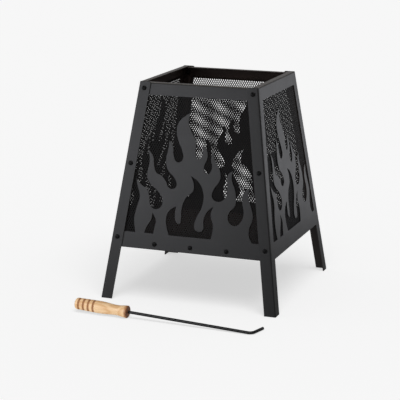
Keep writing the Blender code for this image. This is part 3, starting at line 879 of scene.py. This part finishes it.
def net_shape(low, high, reach, middle_depth):
    """Staggered diamonds over a field that is a little larger than the net."""
    half_x, half_y = NET_STEP_ACROSS / 2, NET_STEP_UP / 2
    side_distance = half_x * half_y / math.hypot(half_x, half_y)
    share = 1 - STRAND_WIDTH / 2 / side_distance
    corners = {
        "right": (half_x * share, 0, 0), "top": (0, half_y * share, STRAND_TILT),
        "left": (-half_x * share, 0, 0), "bottom": (0, -half_y * share, -STRAND_TILT),
    }
    rows = range(-1, math.ceil((high - low) / half_y) + 2)
    columns = range(-math.ceil(reach / NET_STEP_ACROSS) - 1, math.ceil(reach / NET_STEP_ACROSS) + 2)
    net = bmesh.new()
    grid = {}
    for row in rows:
        for column in columns:
            x = (column + row % 2 / 2) * NET_STEP_ACROSS
            z = low + row * half_y
            for side, sign in (("front", -1), ("back", 1)):
                for corner, (dx, dz, tilt) in corners.items():
                    depth = middle_depth + sign * STRAND_SHEET / 2 + tilt
                    grid[row, column, side, corner] = net.verts.new((x + dx, depth, z + dz))
    return net, grid, rows, columns


print("diamonds:", NET_STEP_ACROSS, "by", NET_STEP_UP)

# %% Join the diamonds
def link_diamonds(net, grid, rows, columns):
    """The faces round each diamond: two strands, one joint, and its own four walls."""
    for row in rows:
        for column in columns:
            above = row + 1, column + row % 2
            below = row - 1, column + row % 2
            beside = row, column + 1
            here = row, column
            rings = [
                [(here, "right"), (above, "bottom"), (above, "left"), (here, "top")],
                [(here, "bottom"), (below, "left"), (below, "top"), (here, "right")],
                [(here, "right"), (below, "top"), (beside, "left"), (above, "bottom")],
            ]
            for ring in rings:
                for side in ("front", "back"):
                    keys = [(*cell, side, corner) for cell, corner in ring]
                    if all(key in grid for key in keys):
                        face = [grid[key] for key in keys]
                        net.faces.new(face if side == "front" else reversed(face))
            walk = ("right", "top", "left", "bottom")
            for first, second in zip(walk, walk[1:] + walk[:1]):
                net.faces.new([
                    grid[row, column, "front", first], grid[row, column, "front", second],
                    grid[row, column, "back", second], grid[row, column, "back", first],
                ])


# %% Trim the nets and hang them
def trim_net(net, border):
    """Cuts the field along a convex border and closes the cut strands."""
    for (x1, z1), (x2, z2) in zip(border, border[1:] + border[:1]):
        outward = Vector((z2 - z1, 0, x1 - x2))
        cut = sliced(net, (x1, 0, z1), outward, clear_outer=True)
        edges = [piece for piece in cut if isinstance(piece, bmesh.types.BMEdge)]
        bmesh.ops.holes_fill(net, edges=[edge for edge in edges if edge.is_boundary], sides=0)


def net_border(points):
    """The net's four corners, read from its solid's points."""
    low, high = min(p.z for p in points), max(p.z for p in points)
    half_low = half_at(points, lambda point: point.z < low + SAME_PLACE)
    half_high = half_at(points, lambda point: point.z > high - SAME_PLACE)
    return [(-half_low, low), (half_low, low), (half_high, high), (-half_high, high)]


# The nets' share of the soot, the painted firelight and the rims' painted light.
NET_SOOT_AND_PAINTED_LIGHT = 0.5
NET_GLOSS = 0.12
NET_ROUGHNESS = 0.60

net_paint = powder_coat("powder_coat_nets", NET_SOOT_AND_PAINTED_LIGHT, NET_GLOSS, NET_ROUGHNESS)
for wall in WALLS:
    node = f"{wall}_net"
    points = points_of(node, wall_frames[wall])
    border = net_border(points)
    depths = [point.y for point in points]
    (_, low), (reach, _), (_, high), _ = border
    net, *field = net_shape(low, high, reach, (min(depths) + max(depths)) / 2)
    link_diamonds(net, *field)
    trim_net(net, border)
    net.transform(wall_frames[wall])
    mesh = finished_mesh(f"{node}_expanded", net, net_paint)
    show_piece(mesh.name, mesh, node)
    print(mesh.name, len(mesh.polygons), "faces")

# %% [markdown]
# The tray closes the bottom and catches the embers. It is folded from one sheet, its lips
# standing up inside the walls, and its solid is right, so it keeps it. Inside it is sooted, with
# the reddish glow of a fire painted into the soot's colour, and its floor is dusted with ash, most
# in the middle where the fire stands.

# %% Finish the tray
TRAY_EDGE_BREAK = 0.0005
ASH_COLOUR = (0.055, 0.050, 0.046)
ASH_REACH = 0.15
ASH_CLOUD_SIZE = 0.045
ASH_DETAIL = 6
ASH_CLOUD_ROUGHNESS = 0.6
ASH_MOST = 0.55


def scorched_tray_painted_firelight():
    """Powder coat with soot and painted firelight inside, and ash on the floor that thins out from
    the middle.
    """
    finish = Finish("scorched_tray_painted_firelight")
    place = place_on(finish)
    upward = looks_up(place)
    centre = Vector((pit_axis.x, pit_axis.y, tray_low.z))
    from_middle = vector_maths("DISTANCE", place, centre, output="Value")
    patches = clouds(place, ASH_CLOUD_SIZE, ASH_DETAIL, ASH_CLOUD_ROUGHNESS)
    ash = upward * step_between(from_middle, ASH_REACH, 0.0) * patches * ASH_MOST
    inside = upward + (1 - upward) * faces_inwards(place)
    # Inside the tray: soot, with painted firelight in its colour.
    base = mix_colours(inside, PAINT_COLOUR, soot_and_firelight_film(place))
    finish.shade(
        Base_Color=mix_colours(ash, base, ASH_COLOUR),
        Roughness=PAINT_ROUGHNESS + (SOOT_ROUGHNESS - PAINT_ROUGHNESS) * inside)
    grain = clouds(place, GRAIN_SIZE, GRAIN_DETAIL)
    roughen(grain + patches * ash, GRAIN_DEPTH)
    return finish.material


tray_paint = scorched_tray_painted_firelight()
finish_solid("base_tray", TRAY_EDGE_BREAK, tray_paint)
print("tray:", tray_paint.name)

# %% [markdown]
# The bolts, the nuts and the poker's bar are steel with a black oxide skin, which is thin and
# hides none of the shape under it. The bar is oiled and mirrors a little light along its length.
# The fasteners stayed dry, so their heads are the darkest spots of the walls.

# %% Blacken the fasteners
OXIDE_COLOUR = (0.004, 0.004, 0.004)
OXIDE_COLOUR_RUBBED = (0.008, 0.008, 0.008)
OXIDE_ROUGHNESS = 0.26
OXIDE_ROUGHNESS_CHANGE = 0.12
OXIDE_CLOUD_SIZE = 0.003
OXIDE_DETAIL = 4
OXIDE_GRAIN_SIZE = 0.0005
OXIDE_GRAIN_DEPTH = 0.00001
DRY_GLOSS = 0.10
OILED_GLOSS = 0.50


def black_oxide(name, gloss):
    finish = Finish(name, Specular_IOR_Level=gloss)
    place = place_on(finish)
    patches = clouds(place, OXIDE_CLOUD_SIZE, OXIDE_DETAIL)
    finish.shade(
        Base_Color=mix_colours(patches, OXIDE_COLOUR, OXIDE_COLOUR_RUBBED),
        Roughness=OXIDE_ROUGHNESS + OXIDE_ROUGHNESS_CHANGE * patches)
    roughen(clouds(place, OXIDE_GRAIN_SIZE), OXIDE_GRAIN_DEPTH)
    return finish.material


fastener_oxide = black_oxide("black_oxide_fasteners", DRY_GLOSS)
print("mixed", fastener_oxide.name)

# %% [markdown]
# A bolt is turned: a low domed head on a shank with a thread. The Screw modifier could sweep a
# thread, but it leaves its ends open. Here a small lathe sets rings of points along an axis and
# joins them into one closed body. A ring's radius may change with the angle, and a thread is no
# more than a radius that does so, so the same lathe turns the head, the thread and the handle.

# %% Turn round bodies on a lathe
def lathe(rings, steps):
    """A closed body about +X. A ring is a place along it and a radius, or one for each angle."""
    shape = bmesh.new()
    turned = []
    for along, radius in rings:
        ring = []
        for angle in evenly(0, 2 * math.pi, steps)[:-1]:
            reach = radius(angle) if callable(radius) else radius
            ring.append(shape.verts.new((along, reach * math.cos(angle), reach * math.sin(angle))))
        turned.append(ring)
    for ring, after in zip(turned, turned[1:]):
        for k in range(steps):
            shape.faces.new([ring[k], ring[k - 1], after[k - 1], after[k]])
    for ring, (along, _) in ((turned[0], rings[0]), (turned[-1], rings[-1])):
        middle = shape.verts.new((along, 0, 0))
        for k in range(steps):
            shape.faces.new([middle, ring[k - 1], ring[k]])
    bmesh.ops.recalc_face_normals(shape, faces=shape.faces)
    return shape


print("lathe is ready")

# %% Cut one body with others
def carved(shape, *cuts):
    """The shape after Boolean cuts, each an operation and the shape that it uses."""
    blank = put_in_scene("blank", mesh_of("blank", shape))
    tools = []
    for operation, body in cuts:
        tools.append(put_in_scene("cutter", mesh_of("cutter", body)))
        cut = blank.modifiers.new("cut", "BOOLEAN")
        cut.operation = operation
        cut.object = tools[-1]
    depsgraph = bpy.context.evaluated_depsgraph_get()
    result = bmesh.new()
    result.from_mesh(blank.evaluated_get(depsgraph).to_mesh())
    for holder in (blank, *tools):
        bpy.data.objects.remove(holder)
    return result


print("cutters are ready")

# %% Turn the bolt
BOLT_RADIUS = 0.003
BOLT_LENGTH = 0.012
HEAD_RADIUS = 0.0052
HEAD_HEIGHT = 0.0026
HEAD_RIM = 0.0005
HEAD_RINGS = 7
THREAD_PITCH = 0.001
THREAD_DEPTH = 0.0005
THREAD_START = 0.001
RINGS_PER_TURN = 6
BOLT_STEPS = 24
TIP_CHAMFER = 0.0006


def thread_radius(along):
    """The thread's radius at one place along the bolt, as a function of the angle."""
    def radius(angle):
        wave = (along / THREAD_PITCH - angle / (2 * math.pi)) % 1
        depth = THREAD_DEPTH * abs(2 * wave - 1)
        return min(BOLT_RADIUS - depth, BOLT_RADIUS - TIP_CHAMFER + BOLT_LENGTH - along)
    return radius


def bolt_rings():
    """The dome from its top to its rim, the seat, a plain neck, and the thread."""
    rings = []
    for angle in evenly(0, math.pi / 2, HEAD_RINGS)[1:]:
        rise = (HEAD_HEIGHT - HEAD_RIM) * math.cos(angle)
        rings.append((-HEAD_RIM - rise, HEAD_RADIUS * math.sin(angle)))
    rings += [(0.0, HEAD_RADIUS), (0.0, BOLT_RADIUS), (THREAD_START, BOLT_RADIUS)]
    count = round((BOLT_LENGTH - THREAD_START) / THREAD_PITCH * RINGS_PER_TURN)
    alongs = evenly(THREAD_START, BOLT_LENGTH, count)[1:]
    return rings + [(along, thread_radius(along)) for along in alongs]


print("bolt:", len(bolt_rings()), "rings")

# %% Cut its cross recess
RECESS_ARM = 0.0052
RECESS_WIDTH = 0.0010
RECESS_DEPTH = 0.0013


def recess_arm(turn):
    """One arm of the cross, a bar that narrows towards its floor."""
    arm = bmesh.new()
    bmesh.ops.create_cone(
        arm, cap_ends=True, segments=4, radius1=RECESS_ARM / math.sqrt(2),
        radius2=RECESS_ARM / 2 / math.sqrt(2), depth=2 * RECESS_DEPTH,
        matrix=Matrix.Rotation(math.pi / 4, 4, "Z"))
    squeeze = Matrix.Diagonal((1, RECESS_WIDTH / RECESS_ARM, 1, 1))
    lie = Matrix.Translation((-HEAD_HEIGHT, 0, 0)) @ Matrix.Rotation(math.pi / 2, 4, "Y")
    arm.transform(lie @ Matrix.Rotation(turn, 4, "Z") @ squeeze)
    return arm


bolt_mesh = finished_mesh(
    "domed_bolt",
    carved(
        lathe(bolt_rings(), BOLT_STEPS),
        ("DIFFERENCE", recess_arm(math.pi / 4)), ("DIFFERENCE", recess_arm(-math.pi / 4))),
    fastener_oxide)
print("bolt:", len(bolt_mesh.polygons), "faces")

# %% [markdown]
# A nut starts as hexagon bar. Its corners are rounded on a lathe, which leaves the curved edges
# on each flat that make a nut look like one, and then it is bored. Two Booleans do the same: the
# part that the hexagon shares with a turned body, less the bore.

# %% Cut the nut
NUT_ACROSS_FLATS = 0.010
NUT_HEIGHT = 0.005
NUT_FACE_RADIUS = 0.0046
NUT_CHAMFER = math.radians(30)
NUT_BORE_RADIUS = 0.0031
NUT_BORE_CHAMFER = 0.0005
NUT_STEPS = 48
HEXAGON = 6


def nut_blank():
    """Hexagon bar along +X, a corner upwards, its seat at the origin."""
    corner = NUT_ACROSS_FLATS / 2 / math.cos(math.pi / HEXAGON)
    bar = bmesh.new()
    bmesh.ops.create_cone(
        bar, cap_ends=True, segments=HEXAGON, radius1=corner, radius2=corner, depth=NUT_HEIGHT)
    bar.transform(
        Matrix.Translation((NUT_HEIGHT / 2, 0, 0)) @ Matrix.Rotation(-math.pi / 2, 4, "Y"))
    return bar


def nut_turning():
    """The turned body that rounds the corners of both faces."""
    widest = NUT_FACE_RADIUS + NUT_HEIGHT / 2 / math.tan(NUT_CHAMFER)
    return lathe(
        [(0, NUT_FACE_RADIUS), (NUT_HEIGHT / 2, widest), (NUT_HEIGHT, NUT_FACE_RADIUS)], NUT_STEPS)


def nut_bore():
    wide = NUT_BORE_RADIUS + 2 * NUT_BORE_CHAMFER
    return lathe(
        [(-NUT_BORE_CHAMFER, wide), (NUT_BORE_CHAMFER, NUT_BORE_RADIUS),
         (NUT_HEIGHT - NUT_BORE_CHAMFER, NUT_BORE_RADIUS), (NUT_HEIGHT + NUT_BORE_CHAMFER, wide)],
        NUT_STEPS)


nut_mesh = finished_mesh(
    "hexagon_nut",
    carved(nut_blank(), ("INTERSECT", nut_turning()), ("DIFFERENCE", nut_bore())),
    fastener_oxide)
print("nut:", len(nut_mesh.polygons), "faces")

# %% Set the fasteners in their places
def fastener_place(node):
    """The middle of a fastener across and up its wall, and its least depth."""
    points = points_of(node, wall_frames[wall_of(node)])
    low = Vector([min(point[axis] for point in points) for axis in range(3)])
    high = Vector([max(point[axis] for point in points) for axis in range(3)])
    return (low.x + high.x) / 2, low.y, (low.z + high.z) / 2


fasteners = sorted(node for node in frame["nodes"] if "_bolt_" in node or "_nut_" in node)
for node in fasteners:
    across, depth, slope = fastener_place(node)
    shown, mesh, seat = f"{node}_hexagon", nut_mesh, depth
    if "_bolt_" in node:
        shown, mesh, seat = f"{node}_domed", bolt_mesh, depth + HEAD_HEIGHT
    place = (
        wall_frames[wall_of(node)]
        @ Matrix.Translation((across, seat, slope))
        @ Matrix.Rotation(math.pi / 2, 4, "Z")
    )
    show_piece(shown, mesh, node, place)
print("fasteners:", len(fasteners))

# %% [markdown]
# The poker has a frame of its own, along its handle. Nothing has to be typed in to find it: a
# handle's points are spread widest along its axis, and the first singular vector of the points
# is that direction. The frame starts at the collar's face and its x axis follows the bar.

# %% Find the poker's frame
handle_points = np.array(points_of("poker_handle", Matrix.Identity(4)))
handle_middle = handle_points.mean(axis=0)
poker_x = Vector(np.linalg.svd(handle_points - handle_middle)[2][0])
if poker_x.x < 0:
    poker_x.negate()
poker_y = Vector((0, 0, 1)).cross(poker_x).normalized()
poker_z = poker_x.cross(poker_y)
reaches = (handle_points - handle_middle) @ np.array(poker_x)
collar_face = Vector(handle_middle) + poker_x * float(reaches.max())
handle_length = float(reaches.max() - reaches.min())
poker_frame = (
    Matrix.Translation(collar_face) @ Matrix((poker_x, poker_y, poker_z)).transposed().to_4x4())
print("handle:", round(handle_length, 4), "long, collar at", [round(c, 4) for c in collar_face])

# %% Measure the bar's tang
rod_points = points_of("poker_rod", poker_frame)
tang_end = min(point.x for point in rod_points)
rod_radius = max(point.yz.length for point in rod_points if point.x < tang_end + SAME_PLACE)
print("bar:", round(2 * rod_radius, 5), "thick,", round(-tang_end, 5), "of it in the handle")

# %% [markdown]
# The handle is turned from a pale hardwood. Its outline comes from the solid: each ring of
# points gives a place along the axis and a radius. The same smoothing that rounds the flames
# rounds the four grooves and the swell of the grip, and the lathe turns the result.

# %% Turn the handle
HANDLE_STEPS = 72
HANDLE_STEP = 0.0006


def handle_outline():
    """(Place along the axis, radius) points from the free end to the collar's face."""
    points = {
        (round(point.x, SAME_DIGITS), round(point.yz.length, SAME_DIGITS))
        for point in points_of("poker_handle", poker_frame)
    }
    bore = min(radius for along, radius in points if along > -SAME_PLACE)
    outer = sorted(point for point in points if point[1] > bore + SAME_PLACE)
    return [Vector(point) for point in outer], bore


outline, bore_radius = handle_outline()
handle_rings = [tuple(point) for point in smoothed(outline, HANDLE_STEP, closed=False)]
handle_rings += [(0.0, bore_radius), (tang_end, bore_radius)]
print("handle:", len(outline), "rings read,", len(handle_rings), "turned")

# %% [markdown]
# The wood is light and clear lacquered. Growth rings run the length of the blank, so on a turned
# grip they show as long narrow streaks: rings about its axis, stretched along it and disturbed
# by noise. Fine pores are dark dashes along the grain. The four grooves and the collar were burnt
# with a hot wire, which leaves them dark brown. The collar's face and the last two millimetres
# before it are painted darker still, near black. The handle is left out of the light that comes
# back from things to the floor, because it would leave a warm stain under itself.

# %% Grow the wood
WOOD_PALE = (1.000, 0.685, 0.385)
WOOD_DARK = (0.840, 0.495, 0.225)
WOOD_STOPS = [(0.0, WOOD_PALE), (0.35, WOOD_PALE), (0.85, WOOD_DARK), (1.0, WOOD_PALE)]
PORE_COLOUR = (0.330, 0.160, 0.060)
BURNT_COLOUR = (0.370, 0.135, 0.038)
# Painted near black: the collar's face and the last two millimetres before it.
COLLAR_FACE_COLOUR = (0.150, 0.052, 0.020)
RING_GAP = 0.0079168
RING_DISTORTION = 5.0
RING_DETAIL = 2.0
GRAIN_STRETCH = (0.10, 1.0, 1.0)
PORE_STRETCH = (0.05, 1.0, 1.0)
PORE_SIZE = 0.00035
GROOVE_COUNT = 4
GROOVES_END = 0.02
GROOVE_FIRST = 0.0102
GROOVE_PITCH = 0.0117
GROOVE_HALF_WIDTH = 0.0036
GROOVE_BURN = 0.85
BURN_EDGE = 0.0020
BURN_WAVER_SIZE = 0.006
BURN_WAVER = 0.004
COLLAR_BURN_REACH = 0.0085
COLLAR_BURN = 0.9
COLLAR_FACE_REACH = 0.002
COLLAR_FACE_SHARE = 0.9
PORE_LEAST, PORE_FULL = 0.60, 0.75
PORE_SHARE = 0.4
PORE_DEPTH = 0.00004
WOOD_ROUGHNESS = 0.42
WOOD_ROUGHNESS_CHANGE = 0.10
LACQUER = 0.35
LACQUER_ROUGHNESS = 0.15
# The Wave Texture turns its wave by 20 radians for each unit of length
WAVE_RATE = 20


def turned_wood():
    """Streaks and pores along the grain, four burnt grooves, a burnt collar and a near-black collar
    face.
    """
    finish = Finish("turned_wood", Coat_Roughness=LACQUER_ROUGHNESS)
    place = place_on(finish)
    rings = finish.node(
        "ShaderNodeTexWave",
        {"wave_type": "RINGS", "rings_direction": "X", "wave_profile": "SIN"},
        {"Vector": vector_maths("MULTIPLY", place, GRAIN_STRETCH),
         "Scale": 2 * math.pi / WAVE_RATE / RING_GAP,
         "Distortion": RING_DISTORTION, "Detail": RING_DETAIL})
    grain = finish.node("ShaderNodeValToRGB", {"stops": WOOD_STOPS}, {"Fac": rings})
    pores = clouds(vector_maths("MULTIPLY", place, PORE_STRETCH), PORE_SIZE)
    dark_pores = step_between(pores, PORE_LEAST, PORE_FULL) * PORE_SHARE
    grain = mix_colours(dark_pores, grain, PORE_COLOUR)

    along = one_axis(place, "X") + handle_length
    turn = (along - (GROOVE_FIRST - GROOVE_PITCH / 2)) * (1 / GROOVE_PITCH)
    from_groove = abs(turn.fraction() - 0.5) * GROOVE_PITCH
    groove = step_between(from_groove, GROOVE_HALF_WIDTH, GROOVE_HALF_WIDTH - BURN_EDGE)
    groove = groove * step_between(turn, GROOVE_COUNT + GROOVES_END, GROOVE_COUNT)
    waver = (clouds(place, BURN_WAVER_SIZE) - 0.5) * BURN_WAVER
    from_collar = handle_length - along + waver
    collar = step_between(from_collar, COLLAR_BURN_REACH, COLLAR_FACE_REACH)
    # Near black at the collar's face.
    at_collar_face = step_between(from_collar, COLLAR_FACE_REACH, 0.0)
    base = mix_colours(groove * GROOVE_BURN, grain, BURNT_COLOUR)
    base = mix_colours(collar * COLLAR_BURN, base, BURNT_COLOUR)
    base = mix_colours(at_collar_face * COLLAR_FACE_SHARE, base, COLLAR_FACE_COLOUR)
    finish.shade(
        Base_Color=base, Roughness=WOOD_ROUGHNESS + WOOD_ROUGHNESS_CHANGE * pores,
        Coat_Weight=LACQUER * (1 - groove))
    roughen(pores, PORE_DEPTH)
    return finish.material


handle_mesh = finished_mesh("turned_handle", lathe(handle_rings, HANDLE_STEPS), turned_wood())
handle = show_piece(
    "poker_handle_turned", handle_mesh, "poker_handle", poker_frame)
handle.visible_diffuse = False
print(handle.name, len(handle_mesh.polygons), "faces")

# %% [markdown]
# The poker's bar is round steel with its tip bent over. A curve with a round bevel follows its
# centre line, which is two straight runs and an arc between them, and the tip is rounded off by
# letting the curve's radius shrink over its last points.

# %% Bend the bar
ROD_REACH = 0.2808
HOOK_LENGTH = 0.0425
HOOK_ANGLE = math.radians(77)
HOOK_BEND_RADIUS = 0.012
BEND_STEPS = 16
TIP_ROUNDING = 0.0012
TIP_TURN = math.radians(70)
TIP_STEPS = 4
BAR_RESOLUTION = 7


def bar_route():
    """(Point, share of the radius) along the bar's centre line, from its tang to its tip."""
    cut_back = HOOK_BEND_RADIUS * math.tan(HOOK_ANGLE / 2)
    centre = Vector((ROD_REACH - cut_back, HOOK_BEND_RADIUS, 0))
    route = [(Vector((tang_end, 0, 0)), 1.0)]
    for turn in evenly(0, HOOK_ANGLE, BEND_STEPS):
        outward = Vector((math.sin(turn), -math.cos(turn), 0))
        route.append((centre + HOOK_BEND_RADIUS * outward, 1.0))
    direction = Vector((math.cos(HOOK_ANGLE), math.sin(HOOK_ANGLE), 0))
    tip = Vector((ROD_REACH, 0, 0)) + HOOK_LENGTH * direction
    for turn in evenly(0, TIP_TURN, TIP_STEPS):
        share = 1 - (1 - math.cos(turn)) * TIP_ROUNDING / rod_radius
        route.append((tip - TIP_ROUNDING * (1 - math.sin(turn)) * direction, share))
    return route


bar_curve = bpy.data.curves.new("bar", "CURVE")
bar_curve.dimensions = "3D"
bar_curve.bevel_depth = rod_radius
bar_curve.bevel_resolution = BAR_RESOLUTION
bar_curve.use_fill_caps = True
places, shares = zip(*bar_route())
for point, share in zip(add_line(bar_curve, places).points, shares):
    point.radius = share

bar_oxide = black_oxide("black_oxide_bar", OILED_GLOSS)
bar_mesh = finished_mesh("bent_bar", body_of_curve(bar_curve), bar_oxide)
show_piece("poker_rod_bent", bar_mesh, "poker_rod", poker_frame)
print("poker_rod_bent", len(bar_mesh.polygons), "faces")

# %% Print the sizes
shown_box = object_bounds()
for label, box in (("solids", solid_box), ("shown", shown_box)):
    print(label, [[round(value, 4) for value in corner] for corner in box])
